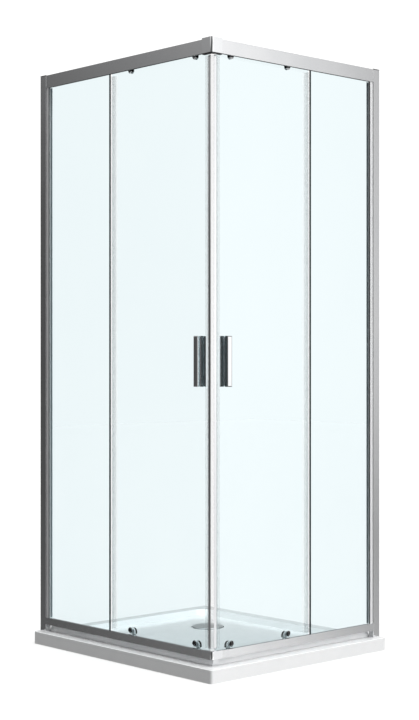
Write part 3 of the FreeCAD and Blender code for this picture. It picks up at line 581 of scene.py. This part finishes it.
# Soft pads that keep the edges of each handle off the glass
PAD_IN = 0.0066
PAD_OUT = 0.0088
PAD_END = 0.0030
PAD_ROUND = 0.0006
for side in SIDES:
    faces = [depth(side, corner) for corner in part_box("door_glass_" + side)]
    for place, glass_n in (("outer", max(faces)), ("inner", min(faces))):
        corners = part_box(f"{place}_handle_{side}")
        handle_u = sum(reach(side, corner) for corner in corners) / 2
        bar_n = min((depth(side, corner) for corner in corners), key=lambda n: abs(n - glass_n))
        for edge, sign in (("near", -1), ("far", 1)):
            inside, outside = handle_u + sign * PAD_IN, handle_u + sign * PAD_OUT
            rounded = outside - sign * PAD_ROUND
            section = [(inside, glass_n), (outside, glass_n), (rounded, bar_n), (inside, bar_n)]
            upright_strip(f"handle_pad_{side}_{place}_{edge}", side, section, corners[0].z + PAD_END,
                          corners[1].z - PAD_END, "door_" + side, PAD)


# Dark rim round the back of each bottom roller housing
RIM_STEPS = 20
RIM_OUTER = 0.0130
RIM_INNER = 0.0090
RIM_FRONT = -0.0368
RIM_BACK = -0.0443
RIM_ROUND = 0.0008
RIM_DROP = 0.0058
HOUSING_R = 0.0125
HOUSING_BACK = -0.0440
RIM_SECTION = [
    (HOUSING_R, RIM_FRONT), (RIM_OUTER, RIM_FRONT),
    (RIM_OUTER, RIM_BACK + RIM_ROUND), (RIM_OUTER - RIM_ROUND, RIM_BACK),
    (RIM_INNER, RIM_BACK), (RIM_INNER, HOUSING_BACK), (HOUSING_R, HOUSING_BACK),
]


def arch(radius):
    """Points of an arch of (sideways, up) round its centre, open at the foot."""
    points = [(radius, -RIM_DROP)]
    for i in range(RIM_STEPS + 1):
        angle = math.pi * i / RIM_STEPS
        points.append((radius * math.cos(angle), radius * math.sin(angle)))
    points.append((-radius, -RIM_DROP))
    return points


for side in SIDES:
    roller_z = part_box("bottom_roller_housings_" + side)[1].z - HOUSING_R
    for end in ENDS:
        along = wheel_u(side, end)
        arches = [
            [spot(side, along + sideways, n, roller_z + up) for sideways, up in arch(radius)]
            for radius, n in RIM_SECTION
        ]
        loft(f"roller_rim_{side}_{end}", list(zip(*arches)), "door_" + side, BLACK)


# Release springs, one for each slider, so that each shortens with its own slider
SPRING_REACH = 0.02
for side in SIDES:
    pair_name = "release_springs_" + side
    for end in ENDS:
        along = wheel_u(side, end)
        coil = bmesh.new()
        coil.from_mesh(nodes[pair_name].data)
        others = [vertex for vertex in coil.verts if abs(reach(side, vertex.co) - along) > SPRING_REACH]
        bmesh.ops.delete(coil, geom=others, context="VERTS")
        bmesh.ops.remove_doubles(coil, verts=coil.verts, dist=WELD)
        for face in coil.faces:
            face.smooth = True
        spring_name = f"release_spring_{side}_{end}"
        spring = link(spring_name, mesh_of(spring_name, coil), "door_" + side, STEEL)
        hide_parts(pair_name)
        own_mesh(spring)


# Floor, light and camera

FLOOR_HALF = 14.0
FLOOR_SHADE = 0.4
FLOOR_GLOW = 0.54
FLOOR_ROUGHNESS = 0.9


def floor():
    """Pale floor that diffuse and glossy rays pass by, so it neither lights the object nor shows in it."""
    mesh = bpy.data.meshes.new("floor")
    half = FLOOR_HALF
    corners = [(-half, -half, 0), (half, -half, 0), (half, half, 0), (-half, half, 0)]
    mesh.from_pydata(corners, [], [(0, 1, 2, 3)])
    piece = bpy.data.objects.new("floor", mesh)
    scene.collection.objects.link(piece)
    made, tree, shader = principled("pale_floor")
    set_inputs(tree, shader, {
        "Base Color": (FLOOR_SHADE, FLOOR_SHADE, FLOOR_SHADE, 1.0),
        "Roughness": FLOOR_ROUGHNESS,
        "Specular IOR Level": 0.0,
        "Emission Color": WHITE,
        "Emission Strength": FLOOR_GLOW,
    })
    dress(piece, made)
    piece.visible_diffuse = False
    piece.visible_glossy = False


BACKDROP = 1.145
ROOM = 0.08
# Upright panels: azimuth in degrees, inner and outer half angles, strength,
# and the elevations between which the panel comes in at its foot
UPRIGHT_PANELS = [
    (8, 14, 50, 0.8, -61, -60),
    (33, 2, 22, 0.82, -9, 1),
]
# Elevations, up and down, between which the upright panels fade out
FADE_START, FADE_STOP = 0, 60
# Round panels: azimuth and elevation in degrees, inner and outer half angles, strength
ROUND_PANELS = [
    (0, 88, 10, 32, 5.1),
    (14, 48, 12, 36, 2.4),
    (12, -50, 15, 38, 1.4),
    (36, -16, 4, 17, 0.6),
    (247, 37, 10, 43, 0.62),
    (247, -37, 10, 43, 0.26),
    (135, 45, 15, 50, 0.5),
]


def sine(degrees):
    return math.sin(math.radians(degrees))


def cosine(degrees):
    return math.cos(math.radians(degrees))


def direction(azimuth, elevation):
    return (cosine(azimuth) * cosine(elevation), sine(azimuth) * cosine(elevation), sine(elevation))


def ease(tree, value, start, stop, low, high):
    """Smooth step from low at start to high at stop."""
    return span(tree, value, low, high, start, stop, "SMOOTHSTEP")


def panel(tree, ray, axis, inner, outer, strength):
    """Light round an axis, full within the inner half angle and gone at the outer one."""
    return ease(tree, dot(tree, ray, axis), cosine(outer), cosine(inner), 0.0, strength)


def total(tree, values):
    result = values[0]
    for value in values[1:]:
        result = calc(tree, "ADD", result, value)
    return result


def studio():
    """Soft panels round the object; the camera itself sees a plain white backdrop."""
    world = bpy.data.worlds.new("studio")
    scene.world = world
    world.use_nodes = True
    tree = world.node_tree
    tree.nodes.clear()
    ray = add(tree, "TexCoord").outputs["Generated"]
    flat = add(tree, "VectorMath", {0: ray, 1: (1.0, 1.0, 0.0)}, operation="MULTIPLY").outputs["Vector"]
    level = add(tree, "VectorMath", {0: flat}, operation="NORMALIZE").outputs["Vector"]
    height = add(tree, "SeparateXYZ", {0: ray}).outputs["Z"]
    slope = add(tree, "Math", {0: height}, operation="ABSOLUTE").outputs[0]
    fade = ease(tree, slope, sine(FADE_START), sine(FADE_STOP), 1.0, 0.0)
    uprights = []
    for azimuth, inner, outer, strength, foot, full in UPRIGHT_PANELS:
        glow = panel(tree, level, direction(azimuth, 0), inner, outer, strength)
        above_foot = ease(tree, height, sine(foot), sine(full), 0.0, 1.0)
        uprights.append(calc(tree, "MULTIPLY", glow, above_foot))
    sides = calc(tree, "MULTIPLY", total(tree, uprights), fade)
    rounds = [
        panel(tree, ray, direction(azimuth, elevation), inner, outer, strength)
        for azimuth, elevation, inner, outer, strength in ROUND_PANELS
    ]
    strength = total(tree, [sides, *rounds, ROOM])
    around = add(tree, "Background", {"Color": WHITE, "Strength": strength})
    backdrop = add(tree, "Background", {"Color": WHITE, "Strength": BACKDROP})
    seen = add(tree, "LightPath").outputs["Is Camera Ray"]
    both = add(tree, "MixShader", {"Fac": seen, 1: around.outputs[0], 2: backdrop.outputs[0]})
    add(tree, "OutputWorld", {"Surface": both.outputs[0]})


def camera():
    lens = bpy.data.cameras.new("camera")
    lens.lens = LENS_MM
    lens.sensor_width = SENSOR_MM
    lens.clip_end = FAR_CLIP
    holder = bpy.data.objects.new("camera", lens)
    holder.location = CAMERA_AT
    holder.rotation_euler = (math.pi / 2 + CAMERA_PITCH, 0.0, CAMERA_YAW)
    scene.collection.objects.link(holder)
    scene.camera = holder


floor()
studio()
camera()
scene.view_settings.view_transform = "Standard"
scene.cycles.transparent_max_bounces = SEE_THROUGH_LAYERS
